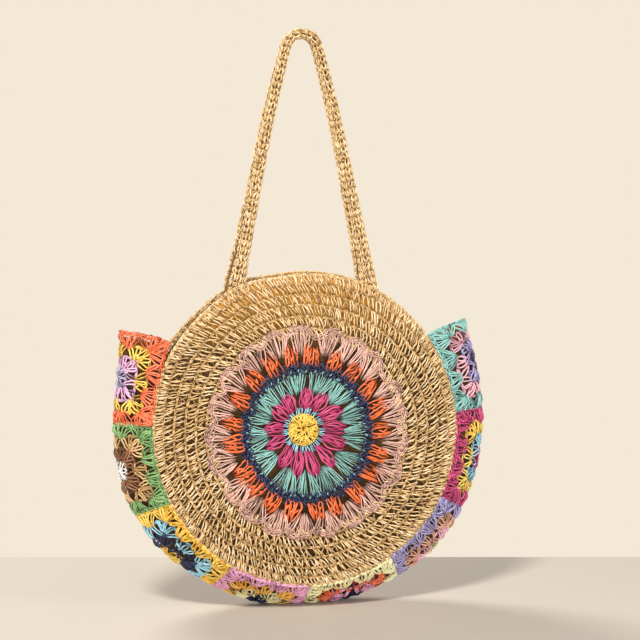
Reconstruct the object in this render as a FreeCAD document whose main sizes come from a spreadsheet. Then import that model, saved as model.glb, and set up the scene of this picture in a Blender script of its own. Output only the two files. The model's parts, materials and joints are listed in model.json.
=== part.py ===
import FreeCAD, Part
import math
import os
import Sketcher
from FreeCAD import Placement, Rotation, Vector

# Round crocheted shoulder bag: two leaning round panels, a gusset of granny squares, a medallion
# of crochet rounds, a cloth lining and two long handles.
# Millimetres, +Z up, front towards -Y, origin on the floor under the middle of the bag.

# Driving dimensions: alias, value, meaning
SIZES = [
    ("panel_radius", 166.0, "outer radius of a round panel with its edging"),
    ("panel_thickness", 5.0, "thickness of the straw panel"),
    ("edging_width", 6.0, "radial width of the closing round"),
    ("edging_thickness", 7.0, "thickness of the closing round"),
    ("panel_lean", 4.4, "lean of each panel towards the mouth, degrees"),
    ("half_depth", 26.0, "middle of the bag to the middle of a panel"),
    ("base_rise", 18.0, "lowest point of a panel above the floor"),
    ("gusset_half_width", 45.5, "edge of a granny square to its middle"),
    ("gusset_thickness", 3.0, "thickness of a granny square"),
    ("ridge_half_width", 5.0, "half width of the folded ridge of the gusset"),
    ("gusset_start_angle", 149.5, "angle of the first end of the gusset, degrees"),
    ("square_angle", 30.75, "angle taken by one granny square, degrees"),
    ("square_count", 8, "granny squares in the gusset"),
    ("end_splay", 10.0, "how far the free ends of the gusset stand away from the panels"),
    ("splay_angle", 20.0, "angle over which the free ends splay, degrees"),
    ("round_count", 4, "rounds of yarn in a granny square"),
    ("base_trim", 0.5, "depth trimmed off the underside to make the resting face"),
    ("seat_gap", 0.2, "gap between neighbouring crochet pieces"),
    ("lining_thickness", 1.0, "thickness of the lining"),
    ("lining_gap", 0.3, "gap between the lining and the crochet"),
    ("lining_margin", 2.0, "lining edge to the inside of the edging"),
    ("medallion_thickness", 2.5, "thickness of the medallion rounds"),
    ("centre_outer", 15.5, "outer radius of the yellow centre"),
    ("blue_outer", 22.0, "outer radius of the light blue round"),
    ("petal_outer", 46.0, "outer radius of the petals"),
    ("petal_lobe", 8.0, "radius of one petal tip"),
    ("petal_count", 12, "petals"),
    ("teal_outer", 62.0, "outer radius of the teal shells"),
    ("teal_lobe", 13.0, "radius of one teal shell"),
    ("teal_count", 12, "teal shells"),
    ("navy_outer", 71.5, "outer radius of the navy round"),
    ("orange_outer", 94.0, "outer radius of the orange clusters"),
    ("orange_lobe", 9.0, "radius of one orange cluster"),
    ("orange_count", 21, "orange clusters"),
    ("pink_outer", 108.0, "outer radius of the pink shells"),
    ("pink_lobe", 13.0, "radius of one pink shell"),
    ("pink_count", 21, "pink shells"),
    ("foot_spread", 67.0, "middle of the bag to the middle of a handle foot"),
    ("leg_spread", 73.0, "middle of the bag to the line of a handle leg at the fold line"),
    ("foot_width", 30.0, "width of a handle foot"),
    ("foot_rise", 4.0, "least height of a handle foot above the edging"),
    ("hinge_gap", 0.3, "handle end and foot to the fold line"),
    ("fold_gap", 0.2, "fold line in front of the foot"),
    ("handle_rise", 267.0, "fold line to the top of the arch"),
    ("handle_width", 13.0, "width of the rolled handle"),
    ("handle_thickness", 9.0, "thickness of the rolled handle"),
    ("arch_radius", 18.0, "radius of the arch at the middle of the handle"),
    ("flare_height", 50.0, "height over which the handle flattens to its foot"),
    ("handle_lean", 1.1, "lean of the handles towards each other, degrees"),
]
# Steps along each granny square, and the overlap of handle parts fused inside one strap
STATIONS = 6
FUSE_OVERLAP = 6.0

doc = FreeCAD.newDocument("circle_bag")
sheet = doc.addObject("Spreadsheet::Sheet", "sizes")
for row, (alias, value, meaning) in enumerate(SIZES, start=1):
    sheet.set(f"A{row}", meaning)
    sheet.set(f"B{row}", str(value))
    sheet.setAlias(f"B{row}", alias)
doc.recompute()


def size(alias):
    return float(sheet.get(alias))


LEAN = math.radians(size("panel_lean"))
CENTRE_HEIGHT = "(sizes.panel_radius + sizes.base_rise) * cos(sizes.panel_lean * 1 deg)"
centre_height = (size("panel_radius") + size("base_rise")) * math.cos(LEAN)
FRONT = -1
BACK = 1
SIDE_NAMES = {FRONT: "front", BACK: "back"}
subparts = []


def keep(item, label):
    item.Label = label
    subparts.append(item)
    return item


def new_body(name):
    return doc.addObject("PartDesign::Body", name)


def origin_plane(body, role):
    return next(item for item in body.Origin.OriginFeatures if item.Role == role)


def new_sketch(body, role, offset="0"):
    sketch = body.newObject("Sketcher::SketchObject", f"{body.Name}_sketch")
    sketch.AttachmentSupport = [(origin_plane(body, role), "")]
    sketch.MapMode = "FlatFace"
    sketch.setExpression("AttachmentOffset.Base.z", offset)
    return sketch


def bind(sketch, constraint, expression):
    number = sketch.addConstraint(constraint)
    sketch.setExpression(f"Constraints[{number}]", expression)


def add_circle(sketch, radius, distance=None):
    """A circle about the origin, or with its centre on the X axis at a distance."""
    circle = sketch.addGeometry(Part.Circle(Vector(), Vector(0, 0, 1), 1.0))
    if distance is None:
        sketch.addConstraint(Sketcher.Constraint("Coincident", circle, 3, -1, 1))
    else:
        sketch.addConstraint(Sketcher.Constraint("PointOnObject", circle, 3, -1))
        bind(sketch, Sketcher.Constraint("DistanceX", -1, 1, circle, 3, 1.0), distance)
    bind(sketch, Sketcher.Constraint("Radius", circle, 1.0), radius)


def add_pad(body, sketch, length):
    pad = body.newObject("PartDesign::Pad", f"{body.Name}_pad")
    pad.Profile = sketch
    pad.setExpression("Length", length)
    sketch.Visibility = False
    return pad


def lean_with_panel(body, side):
    """Turn a round made flat in XY so that its +Z faces out of the leaning panel on one side."""
    body.Placement = Placement(Vector(), Rotation(Vector(-side, 0, 0), 90))
    body.setExpression("Placement.Base.y", f"{side} * sizes.half_depth")
    body.setExpression("Placement.Base.z", CENTRE_HEIGHT)
    body.setExpression("Placement.Rotation.Angle", "90 - sizes.panel_lean")


def flat_round(label, side, start, length, outer, inner=None, lobe=None, count=None):
    """A disc or ring parallel to a panel, with lobes round its outer edge where a lobe is given."""
    body = new_body(label)
    sketch = new_sketch(body, "XY_Plane", start)
    add_circle(sketch, outer if lobe is None else f"{outer} - {lobe}")
    add_pad(body, sketch, length)
    if lobe is not None:
        lobe_sketch = new_sketch(body, "XY_Plane", start)
        add_circle(lobe_sketch, lobe, f"{outer} - {lobe}")
        pad = add_pad(body, lobe_sketch, length)
        pattern = body.newObject("PartDesign::PolarPattern", f"{label}_pattern")
        pattern.Originals = [pad]
        pattern.Axis = (lobe_sketch, ["N_Axis"])
        pattern.Angle = 360
        pattern.setExpression("Occurrences", count)
        body.Tip = pattern
    if inner is not None:
        bore_sketch = new_sketch(body, "XY_Plane", start)
        add_circle(bore_sketch, inner)
        bore = body.newObject("PartDesign::Pocket", f"{label}_bore")
        bore.Profile = bore_sketch
        bore.Reversed = True
        bore.setExpression("Length", length)
    lean_with_panel(body, side)
    return keep(body, label)


def make_panels():
    edging_inner = "sizes.panel_radius - sizes.edging_width"
    inner_face = "-sizes.panel_thickness / 2 - sizes.lining_gap - sizes.lining_thickness"
    for side, name in SIDE_NAMES.items():
        flat_round(f"{name}_panel", side, "-sizes.panel_thickness / 2", "sizes.panel_thickness",
                   f"{edging_inner} - sizes.seat_gap")
        flat_round(f"{name}_edging", side, "-sizes.edging_thickness / 2", "sizes.edging_thickness",
                   "sizes.panel_radius", edging_inner)
        flat_round(f"{name}_lining", side, inner_face, "sizes.lining_thickness",
                   f"{edging_inner} - sizes.lining_margin")


def make_medallion():
    """Seven rounds of yarn lying on the outer face of the front panel."""
    rounds = [
        ("centre", False),
        ("blue", False),
        ("petal", True),
        ("teal", True),
        ("navy", False),
        ("orange", True),
        ("pink", True),
    ]
    inner = None
    for name, lobed in rounds:
        outer = f"sizes.{name}_outer"
        lobe = f"sizes.{name}_lobe" if lobed else None
        count = f"sizes.{name}_count" if lobed else None
        flat_round(f"medallion_{name}", FRONT, "sizes.panel_thickness / 2",
                   "sizes.medallion_thickness", outer, inner, lobe, count)
        inner = f"{outer} + sizes.seat_gap"


def rim_half_depth(angle):
    """Middle of the bag to the middle of a panel's edge, at an angle round the panel."""
    return size("half_depth") - size("panel_radius") * math.sin(angle) * math.sin(LEAN)


def fold(angle):
    """Bulge of the folded gusset beyond the panels and half the width of its outer flat."""
    width = size("gusset_half_width")
    ridge = size("ridge_half_width")
    depth = rim_half_depth(angle)
    bulge = math.sqrt((width - ridge) ** 2 - (depth - ridge) ** 2)
    floor_radius = size("panel_radius") + size("base_rise") + size("base_trim")
    down = -math.sin(angle)
    room = floor_radius / down - size("panel_radius") if down > 0 else bulge
    if room >= bulge:
        return bulge, ridge
    return room, (width ** 2 - depth ** 2 - room ** 2) / (2 * (width - depth))


def splay(angle):
    """How far the gusset stands off the panels at an angle, near its free ends."""
    start = math.radians(size("gusset_start_angle"))
    end = start + math.radians(size("square_angle")) * size("square_count")
    reach = math.radians(size("splay_angle"))
    share = max(0.0, 1 - min(angle - start, end - angle) / reach)
    return size("end_splay") * share ** 2


def bag_point(angle, radius, y):
    x = radius * math.cos(angle)
    z = centre_height + radius * math.sin(angle) * math.cos(LEAN)
    return Vector(x, y, z)


def clear_radius():
    """Radius at which the straight steps of the gusset's edge clear the leaning edging."""
    rim = size("panel_radius") + size("edging_thickness") / 2 * math.sin(LEAN)
    half_step = math.radians(size("square_angle")) / STATIONS / 2
    return (rim + size("seat_gap")) / math.cos(half_step)


def fold_line(angle, depth):
    """The gusset's section from the front edge to the back edge, a depth below its outer face."""
    bulge, flat = fold(angle)
    edge_radius = clear_radius() + splay(angle)
    edge_y = rim_half_depth(angle) + size("gusset_thickness") / 2 - depth
    ridge_radius = size("panel_radius") + bulge + splay(angle) - depth
    ridge_y = flat - depth / 2
    return [
        bag_point(angle, edge_radius, -edge_y),
        bag_point(angle, ridge_radius, -ridge_y),
        bag_point(angle, ridge_radius, ridge_y),
        bag_point(angle, edge_radius, edge_y),
    ]


def gusset_strip(start, end, steps, outer_depth, inner_depth):
    """A folded strip of the gusset between two angles and two depths, trimmed flat at the floor."""
    sections = []
    for step in range(steps + 1):
        angle = start + (end - start) * step / steps
        points = fold_line(angle, outer_depth) + fold_line(angle, inner_depth)[::-1]
        sections.append(Part.makePolygon(points + points[:1]))
    strip = Part.makeLoft(sections, True, True)
    span = 4 * size("panel_radius")
    below = Part.makeBox(span, span, span, Vector(-span / 2, -span / 2, -span))
    return strip.cut(below).Solids[0]


def wedge(start, end, half_width):
    """A wedge about the middle of the panels, between two angles, as wide as given each way."""
    far = 2 * size("panel_radius")
    corners = [bag_point(0, 0, -half_width)]
    corners += [bag_point(angle, far, -half_width) for angle in (start, end)]
    face = Part.Face(Part.makePolygon(corners + corners[:1]))
    return face.extrude(Vector(0, 2 * half_width, 0))


def square_rounds(start, end):
    """The rounds of one granny square, from its border in to its centre."""
    middle = (start + end) / 2
    flat = fold(middle)[1]
    width = size("gusset_half_width")
    slope = (rim_half_depth(middle) - flat) / (width - flat)
    count = int(size("round_count"))
    remaining = gusset_strip(start, end, STATIONS, 0, size("gusset_thickness"))
    rounds = []
    for number in range(1, count):
        share = 1 - number / count
        reach = width * share
        half_width = reach if reach < flat else flat + (reach - flat) * slope
        half_angle = share * (end - start) / 2
        cutter = wedge(middle - half_angle, middle + half_angle, half_width)
        rounds.append(remaining.cut(cutter))
        remaining = remaining.common(cutter)
    return rounds + [remaining]


def make_gusset():
    step = math.radians(size("square_angle"))
    first = math.radians(size("gusset_start_angle"))
    count = int(size("square_count"))
    for number in range(count):
        start = first + number * step
        for ring, shape in enumerate(square_rounds(start, start + step), start=1):
            item = doc.addObject("Part::Feature", f"square_{number + 1}_round_{ring}")
            item.Shape = shape.Solids[0]
            item.Placement = Placement()
            keep(item, f"square_{number + 1}_round_{ring}")
    lining_depth = size("gusset_thickness") + size("lining_gap")
    lining = doc.addObject("Part::Feature", "gusset_lining")
    lining.Shape = gusset_strip(first, first + count * step, count * STATIONS, lining_depth,
                                lining_depth + size("lining_thickness"))
    lining.Placement = Placement()
    keep(lining, "gusset_lining")


# Fold line of the handles: above the inner end of a foot, in front of the edging there
FOOT_INNER = "(sizes.foot_spread - sizes.foot_width / 2)"
RIM_RISE = f"sqrt(sizes.panel_radius ^ 2 - {FOOT_INNER} ^ 2) * cos(sizes.panel_lean * 1 deg)"
FOLD_RISE = f"({RIM_RISE} + sizes.foot_rise + sizes.hinge_gap)"
FOLD_HEIGHT = f"{CENTRE_HEIGHT} + {FOLD_RISE}"
PANEL_THERE = f"(sizes.half_depth - {FOLD_RISE} * tan(sizes.panel_lean * 1 deg))"
FOLD_DEPTH = f"({PANEL_THERE} + sizes.edging_thickness / 2 + sizes.fold_gap)"
HANDLE_MIDDLE = "(sizes.fold_gap + sizes.edging_thickness / 2)"
ARCH_HEIGHT = "(sizes.handle_rise - sizes.arch_radius - sizes.handle_width / 2)"


def leg_angle():
    """Angle of a handle leg from the vertical, where it runs tangent to the arch."""
    rise = size("handle_rise") - size("arch_radius") - size("handle_width") / 2
    to_arch = math.hypot(size("leg_spread"), rise)
    return math.atan2(size("leg_spread"), rise) - math.asin(size("arch_radius") / to_arch)


def add_rectangle(sketch, across, along, wide, tall):
    """A rectangle with its middle at (across, along), all four given as expressions."""
    corners = [Vector(-1, -1), Vector(1, -1), Vector(1, 1), Vector(-1, 1)]
    lines = [sketch.addGeometry(Part.LineSegment(corners[i], corners[(i + 1) % 4])) for i in range(4)]
    for i in range(4):
        sketch.addConstraint(Sketcher.Constraint("Coincident", lines[i], 2, lines[(i + 1) % 4], 1))
        kind = "Horizontal" if i % 2 == 0 else "Vertical"
        sketch.addConstraint(Sketcher.Constraint(kind, lines[i]))
    bind(sketch, Sketcher.Constraint("DistanceX", lines[0], 1, lines[0], 2, 2.0), wide)
    bind(sketch, Sketcher.Constraint("DistanceY", lines[1], 1, lines[1], 2, 2.0), tall)
    bind(sketch, Sketcher.Constraint("DistanceX", -1, 1, lines[0], 1, -1.0), f"{across} - {wide} / 2")
    bind(sketch, Sketcher.Constraint("DistanceY", -1, 1, lines[0], 1, -1.0), f"{along} - {tall} / 2")


def make_strap(side):
    """A handle strap standing on its fold line: half the arch and one flared leg, mirrored."""
    label = f"{SIDE_NAMES[side]}_handle"
    body = new_body(label)
    middle = f"{-side} * {HANDLE_MIDDLE}"
    angle = leg_angle()
    radius = size("arch_radius")
    arch_z = size("handle_rise") - radius - size("handle_width") / 2
    tangent = Vector(radius * math.cos(angle), arch_z + radius * math.sin(angle))
    flare = size("flare_height")
    leg_end_z = flare - FUSE_OVERLAP
    leg_end = Vector(tangent.x + (tangent.y - leg_end_z) * math.tan(angle), leg_end_z)

    path = new_sketch(body, "XZ_Plane", f"{side} * {HANDLE_MIDDLE}")
    circle = Part.Circle(Vector(0, arch_z), Vector(0, 0, 1), radius)
    path.addGeometry(Part.ArcOfCircle(circle, angle, math.pi / 2))
    path.addGeometry(Part.LineSegment(tangent, leg_end))
    profile = new_sketch(body, "YZ_Plane")
    add_rectangle(profile, middle, f"({ARCH_HEIGHT} + sizes.arch_radius)",
                  "sizes.handle_thickness", "sizes.handle_width")
    pipe = body.newObject("PartDesign::AdditivePipe", f"{label}_pipe")
    pipe.Profile = profile
    pipe.Spine = (path, ["Edge1", "Edge2"])

    leg_x = f"({tangent.x} + ({tangent.y} - %s) * {math.tan(angle)})"
    upper = new_sketch(body, "XY_Plane", "sizes.flare_height")
    add_rectangle(upper, leg_x % "sizes.flare_height", middle,
                  "sizes.handle_width", "sizes.handle_thickness")
    lower = new_sketch(body, "XY_Plane", "sizes.hinge_gap")
    add_rectangle(lower, "sizes.foot_spread", middle, "sizes.foot_width", "sizes.edging_thickness")
    flared = body.newObject("PartDesign::AdditiveLoft", f"{label}_flare")
    flared.Profile = lower
    flared.Sections = [upper]

    mirror = body.newObject("PartDesign::Mirrored", f"{label}_mirror")
    mirror.Originals = [pipe, flared]
    mirror.MirrorPlane = (origin_plane(body, "YZ_Plane"), [""])
    body.Tip = mirror
    body.Placement = Placement(Vector(), Rotation(Vector(side, 0, 0), size("handle_lean")))
    body.setExpression("Placement.Base.y", f"{side} * {FOLD_DEPTH}")
    body.setExpression("Placement.Base.z", FOLD_HEIGHT)
    return keep(body, label)


def make_foot(side, hand):
    """The foot of a handle, standing on the edging and following its curve."""
    label = f"{SIDE_NAMES[side]}_handle_foot_{'left' if hand < 0 else 'right'}"
    block = doc.addObject("Part::Box", f"{label}_block")
    block.setExpression("Length", "sizes.foot_width")
    block.setExpression("Width", "sizes.edging_thickness")
    block.setExpression("Height", "sizes.foot_width")
    block.setExpression("Placement.Base.x", f"{hand} * sizes.foot_spread - sizes.foot_width / 2")
    block.setExpression("Placement.Base.y", f"{side} * {PANEL_THERE} - sizes.edging_thickness / 2")
    block.setExpression("Placement.Base.z", f"{FOLD_HEIGHT} - sizes.hinge_gap - sizes.foot_width")
    round_cut = doc.addObject("Part::Cylinder", f"{label}_rim")
    round_cut.setExpression("Radius", "sizes.panel_radius + sizes.seat_gap")
    round_cut.setExpression("Height", "2 * sizes.half_depth")
    rim_turn = Rotation(Vector(-side, 0, 0), 90 - size("panel_lean"))
    rim_axis = rim_turn.multVec(Vector(0, 0, size("half_depth")))
    rim_middle = Vector(0, side * size("half_depth"), centre_height)
    round_cut.Placement = Placement(rim_middle - rim_axis, rim_turn)
    foot = doc.addObject("Part::Cut", label)
    foot.Base = block
    foot.Tool = round_cut
    return keep(foot, label)


def make_handles():
    for side in SIDE_NAMES:
        make_strap(side)
        for hand in (-1, 1):
            make_foot(side, hand)


def check(item):
    faults = [state for state in item.State if state in ("Invalid", "Error")]
    if faults:
        raise RuntimeError(f"{item.Label} is {faults}")


make_panels()
make_medallion()
make_gusset()
make_handles()
doc.recompute()
for item in doc.Objects:
    check(item)
for item in subparts:
    if item.Shape.isNull() or not item.Shape.isValid() or len(item.Shape.Solids) != 1:
        raise RuntimeError(f"{item.Label} is not one valid solid")
os.makedirs("parts", exist_ok=True)
for item in subparts:
    item.Shape.exportStep(f"parts/{item.Label}.step")
print(len(subparts), "sub-parts written")
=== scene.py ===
import json
import math

import bpy
import numpy as np
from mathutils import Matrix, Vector


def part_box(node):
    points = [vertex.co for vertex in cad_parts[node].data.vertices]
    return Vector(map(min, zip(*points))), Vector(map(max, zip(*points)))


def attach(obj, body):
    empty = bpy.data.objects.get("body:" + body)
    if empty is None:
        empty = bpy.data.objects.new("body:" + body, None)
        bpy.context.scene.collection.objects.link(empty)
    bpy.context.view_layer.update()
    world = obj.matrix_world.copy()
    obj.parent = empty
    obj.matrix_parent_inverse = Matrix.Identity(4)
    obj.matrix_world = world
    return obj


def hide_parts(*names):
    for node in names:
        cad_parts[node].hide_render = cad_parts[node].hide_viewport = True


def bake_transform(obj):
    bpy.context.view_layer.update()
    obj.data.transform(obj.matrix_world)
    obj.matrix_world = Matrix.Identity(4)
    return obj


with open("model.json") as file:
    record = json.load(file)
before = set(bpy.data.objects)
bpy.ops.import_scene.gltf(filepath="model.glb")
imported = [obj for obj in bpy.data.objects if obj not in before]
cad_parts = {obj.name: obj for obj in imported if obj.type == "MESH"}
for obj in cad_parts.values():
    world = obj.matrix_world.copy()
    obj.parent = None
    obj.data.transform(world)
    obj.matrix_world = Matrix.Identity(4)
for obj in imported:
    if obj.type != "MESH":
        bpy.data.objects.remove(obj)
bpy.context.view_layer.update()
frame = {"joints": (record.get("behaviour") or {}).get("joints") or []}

# Round crocheted shoulder bag. Every stitch is made of strands of yarn, laid out flat on a chart in
# millimetres and then carried by that chart onto a panel, the gusset or a handle.

MM = 0.001
FULL_TURN = 2 * math.pi
rng = np.random.default_rng(7)


# Sizes in millimetres, from the frame where it holds them

def node_box(node):
    low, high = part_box(node)
    return np.array(low) / MM, np.array(high) / MM


FRONT = -1
BACK = 1
SIDE_NAMES = {FRONT: "front", BACK: "back"}

# Panels: the soft rim is fitted to the solid one, and the work hangs a little low inside it
rim_low, rim_high = node_box("front_edging")
EDGING_THICKNESS = 7.0
RIM_TRIM = 2.5
PANEL_RADIUS = (rim_high[0] - rim_low[0]) / 2 - RIM_TRIM
PANEL_RAISE = 5.5
PANEL_Z = (rim_high[2] + rim_low[2]) / 2 + PANEL_RAISE
HALF_DEPTH = -(rim_high[1] + rim_low[1]) / 2
LEAN = math.asin((rim_high[1] - rim_low[1] - EDGING_THICKNESS) / (rim_high[0] - rim_low[0]))
PANEL_SAG = 7.0
PANEL_STRETCH = 0.045
PANEL_BOW = 2.5
FLOWER_RISE = 7.5
FLOWER_SHIFT = -7.0
FLOWER_REACH = 42.0
# The top of a panel, from a share of its radius upward, drops a little and is pulled up at the handle feet
TOP_SHARE = 0.7
TOP_LIMIT = 1.2
TOP_POWER = 1.5
TOP_DROP = {FRONT: 2.5, BACK: 0.5}
FOOT_PULL = 6.0
PULL_REACH = 26.0
# Slow unevenness over a panel: size, wave lengths along x and y, and phases
UP_WAVE = (0.8, (17, 21), (0.6, 0.0))
SIDE_WAVE = (0.8, (23, 18), (math.pi / 2, 1.1))
BOW_WAVE = (0.9, (31, 37), (1.0, 0.0))
SURFACE_STEP = 0.4

# Gusset: granny squares in a row, folded along the middle of the row
SQUARE_COUNT = 8
SQUARE = 91.0
HALF_SQUARE = SQUARE / 2
GUSSET_START = math.radians(149.5)
# Angle that each square takes up round the panel, from the left end
SQUARE_TURNS = np.radians([28.0, 29.0, 33.0, 30.5, 32.5, 29.8, 32.2, 31.0])
GUSSET_TURN = SQUARE_TURNS.sum()
# Edges of the squares and their angles, with one square more at each end
SQUARE_STEPS = np.arange(-1, SQUARE_COUNT + 2)
first_turns = [-SQUARE_TURNS[0], SQUARE_TURNS[0]]
SQUARE_STARTS = np.cumsum(np.concatenate([first_turns, SQUARE_TURNS, SQUARE_TURNS[-1:]]))
RIDGE = 5.0
RIDGE_SOFTNESS = 0.16
RIGHT_SOFTNESS = 0.55
BASE_BULGE = 3.0
BULGE_POWER = 4
# Where the sides stand fuller: angle round the panel, reach of the swell and its size
SIDE_SWELLS = [
    (math.radians(208), math.radians(18), 2.5),
    (math.radians(320), math.radians(22), 6.0),
]
# Open ends: how far they splay at the ridge and at the edges, and how those turn round the panel
SPLAY_ANGLE = math.radians(20)
SPLAY_LIMIT = 2.0
LEFT_SPLAY = 17.0
LEFT_EDGE_SPLAY = 8.0
RIGHT_SPLAY = 9.5
RIGHT_EDGE_SPLAY = 1.0
LEFT_END_RIDGE = math.radians(2.0)
LEFT_END_EDGE = math.radians(-2.5)
RIGHT_END_RIDGE = math.radians(-3.9)
RIGHT_END_EDGE = math.radians(0.6)
RIGHT_END_BACK = math.radians(-5.0)
FLOOR_CLEARANCE = 3.2
FLOOR_GAP = 1.0

# Handles: straps with flat feet, rolled along the legs and the arch
joints = {joint["name"]: joint for joint in frame["joints"]}
FOLD_Z = joints["front_handle_fold"]["pos_m"][2] / MM
FOLD_Y = -joints["front_handle_fold"]["pos_m"][1] / MM
HANDLE_MIDDLE = 3.7
HANDLE_LEAN = math.radians(2.0)
ARCH_DROP = 5.0
HANDLE_RISE = node_box("front_handle")[1][2] - FOLD_Z - ARCH_DROP
CORD_RADIUS = 5.3
ARCH_RADIUS = 17.0
ARCH_POINTS = 25
LEG_SPREAD = 71.0
LEG_BOW = 2.5
LEG_POINTS = 60
FOOT_DROP = 18.0
STRAP_WIDTH = 23.0
STRAP_FLATNESS = 0.8
STRAP_CURL = 0.95
FOOT_CURL = 0.44
CURL_LENGTH = 70.0
TANGENT_REACH = 4.0

# Yarn: strand sizes, their unevenness, and how much of a strand's tone follows its depth in the work, as
# painted shade where it lies low and painted highlight where it is raised
STRAW_RADIUS = 0.7
STRAP_YARN_RADIUS = 0.8
YARN_RADIUS = 0.84
YARN_WIDTH = 1.18
YARN_HEIGHT = 0.78
YARN_SPREAD = 0.08
TUBE_SIDES = 6
END_TAPER = 0.6
TWIST_SPREAD = 0.12
KINK = 0.26
DEPTH_SHADE_SHARE = 0.6
SQUARE_DEPTH_SHADE_SHARE = 0.35
DEPTH_RANGE = (4, 90)
# Painted shade: tones of strands that lie under others are darkened by this factor
UNDER_SHADE_FACTOR = 0.5
PANEL_BRIGHTNESS = 0.92
STRAP_BRIGHTNESS = 0.95
# Factors on each granny square's tones from the left end, set to match its yarns' brightness; the two
# bottom squares get the most, painted light on the underside, which the lamps leave dim
SQUARE_BRIGHTNESS = [1.35, 1.3, 1.4, 1.5, 1.5, 1.35, 1.3, 1.2]
# Strand coordinates for the streaks: their scale along and around a strand, and the range of their starts
STREAKS_ALONG = 0.25
STREAKS_AROUND = 0.9
STREAK_STARTS = 40

COLOURS = {
    "straw": "#E4C085",
    "lining": "#DDA03A",
    "yellow": "#F3C54A",
    "light_blue": "#8FC6DB",
    "magenta": "#B9316C",
    "teal": "#88BFB9",
    "navy": "#0B1C46",
    "orange": "#E6682A",
    "dusty_pink": "#DAAE9F",
    "orange_red": "#E06530",
    "lilac": "#D9A9CF",
    "lavender_grey": "#A59DBB",
    "green": "#76A062",
    "tan": "#C9A36B",
    "brown": "#8A5A3A",
    "white": "#EFEBE4",
    "golden": "#FCBE3A",
    "orchid": "#D999BE",
    "golden_orange": "#FAB03A",
    "cream": "#EFE1AF",
    "lavender": "#9790BD",
    "salmon_tan": "#CF9A80",
    "pink": "#E9ABBD",
    "mint": "#7FB4AF",
    "purple_grey": "#5E4A68",
}
# Yarns of each granny square from its border in to its centre
SQUARE_YARNS = [
    ("orange_red", "yellow", "lilac", "lavender_grey"),
    ("green", "tan", "brown", "white"),
    ("golden", "light_blue", "navy", "yellow"),
    ("orchid", "golden_orange", "cream", "navy"),
    ("cream", "orange_red", "orchid", "navy"),
    ("lavender", "salmon_tan", "pink", "cream"),
    ("magenta", "yellow", "light_blue", "magenta"),
    ("mint", "pink", "lavender", "purple_grey"),
]


# Materials

STRAW_SHADOW = (0.27, 0.175, 0.11)
YARN_SHADOW = (0.17, 0.13, 0.13)
# Paleness: the whitening of the pale tone, a painted highlight on raised strands
STRAW_PALENESS = 0.41
YARN_PALENESS = 0.1
PALE_FACTOR = 1.35
# Places of the shadow, of the yarn's own colour and of its pale tone along the range of tones: the shadow
# end is painted shade where a strand lies deep and the pale end painted highlight where it is raised, and
# strands also differ there at random
SHADOW_STOP = 0.3
MIDDLE_STOP = 0.54
PALE_STOP = 0.75
# Shares of the tone that come from streaks, from broad patches and from the strand, whose share holds
# painted shade by depth
STREAK_SHARE = 0.3
PATCH_SHARE = 0.15
STRAND_SHARE = 0.55
STREAK_SCALE = 1.0
STREAK_DETAIL = 3.0
PATCH_SCALE = 22.0
STREAK_BUMP = (0.35, 0.0004)
YARN_ROUGHNESS = 0.26
STREAK_ROUGHNESS = 0.3
YARN_SPECULAR = 0.55

# Lining: painted shade, darker low down in the bag, where little light falls in
LINING_DARK_Z = 0.27
LINING_LIGHT_Z = 0.325
LINING_SHADOW = 0.15
LINING_LIGHT = 1.1
LINING_STOPS = (0.1, 0.95)
WEAVE_SCALE = 420.0
WEAVE_DISTORTION = 1.2
CLOTH_PATCH_SCALE = 14.0
WEAVE_SHARE = 0.15
CLOTH_PATCH_SHARE = 0.25
HEIGHT_SHARE = 0.7
WEAVE_BUMP = (0.3, 0.0003)
CLOTH_ROUGHNESS = 0.8
CLOTH_SHEEN = 0.15


def linear(code):
    """Linear colour from a hex sRGB code."""
    channels = [int(code[i:i + 2], 16) / 255 for i in (1, 3, 5)]
    return [c / 12.92 if c <= 0.04045 else ((c + 0.055) / 1.055) ** 2.4 for c in channels]


def shade(colour, factor, whiten=0.0):
    return [min(1.0, c * factor) * (1 - whiten) + whiten for c in colour] + [1.0]


def shadow_tone(colour, factors):
    return [c * factor for c, factor in zip(colour, factors)] + [1.0]


def new_material(name):
    material = bpy.data.materials.new(name)
    material.use_nodes = True
    nodes = material.node_tree.nodes
    return material, nodes, material.node_tree.links, nodes["Principled BSDF"]


def set_inputs(node, values):
    for name, value in values.items():
        node.inputs[name].default_value = value


def add_math(nodes, links, operation, first, second):
    node = nodes.new("ShaderNodeMath")
    node.operation = operation
    for socket, value in zip(node.inputs, (first, second)):
        if isinstance(value, (int, float)):
            socket.default_value = value
        else:
            links.new(value, socket)
    return node.outputs[0]


def add_weighted(nodes, links, parts):
    """Sum of values, each times its share."""
    total = None
    for value, share in parts:
        part = add_math(nodes, links, "MULTIPLY", value, share)
        total = part if total is None else add_math(nodes, links, "ADD", total, part)
    return total


def add_noise(nodes, links, vector, values):
    noise = nodes.new("ShaderNodeTexNoise")
    set_inputs(noise, values)
    links.new(vector, noise.inputs["Vector"])
    return noise.outputs["Fac"]


def add_ramp(nodes, links, value, stops):
    """Colour ramp from its stops, each a position and a colour, in rising order."""
    ramp = nodes.new("ShaderNodeValToRGB")
    elements = ramp.color_ramp.elements
    elements[0].position, elements[0].color = stops[0]
    elements[1].position, elements[1].color = stops[-1]
    for position, colour in stops[1:-1]:
        elements.new(position).color = colour
    links.new(value, ramp.inputs["Fac"])
    return ramp.outputs["Color"]


def add_bump(nodes, links, shader, height, strength, distance):
    bump = nodes.new("ShaderNodeBump")
    set_inputs(bump, {"Strength": strength, "Distance": distance})
    links.new(height, bump.inputs["Height"])
    links.new(bump.outputs["Normal"], shader.inputs["Normal"])


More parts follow.
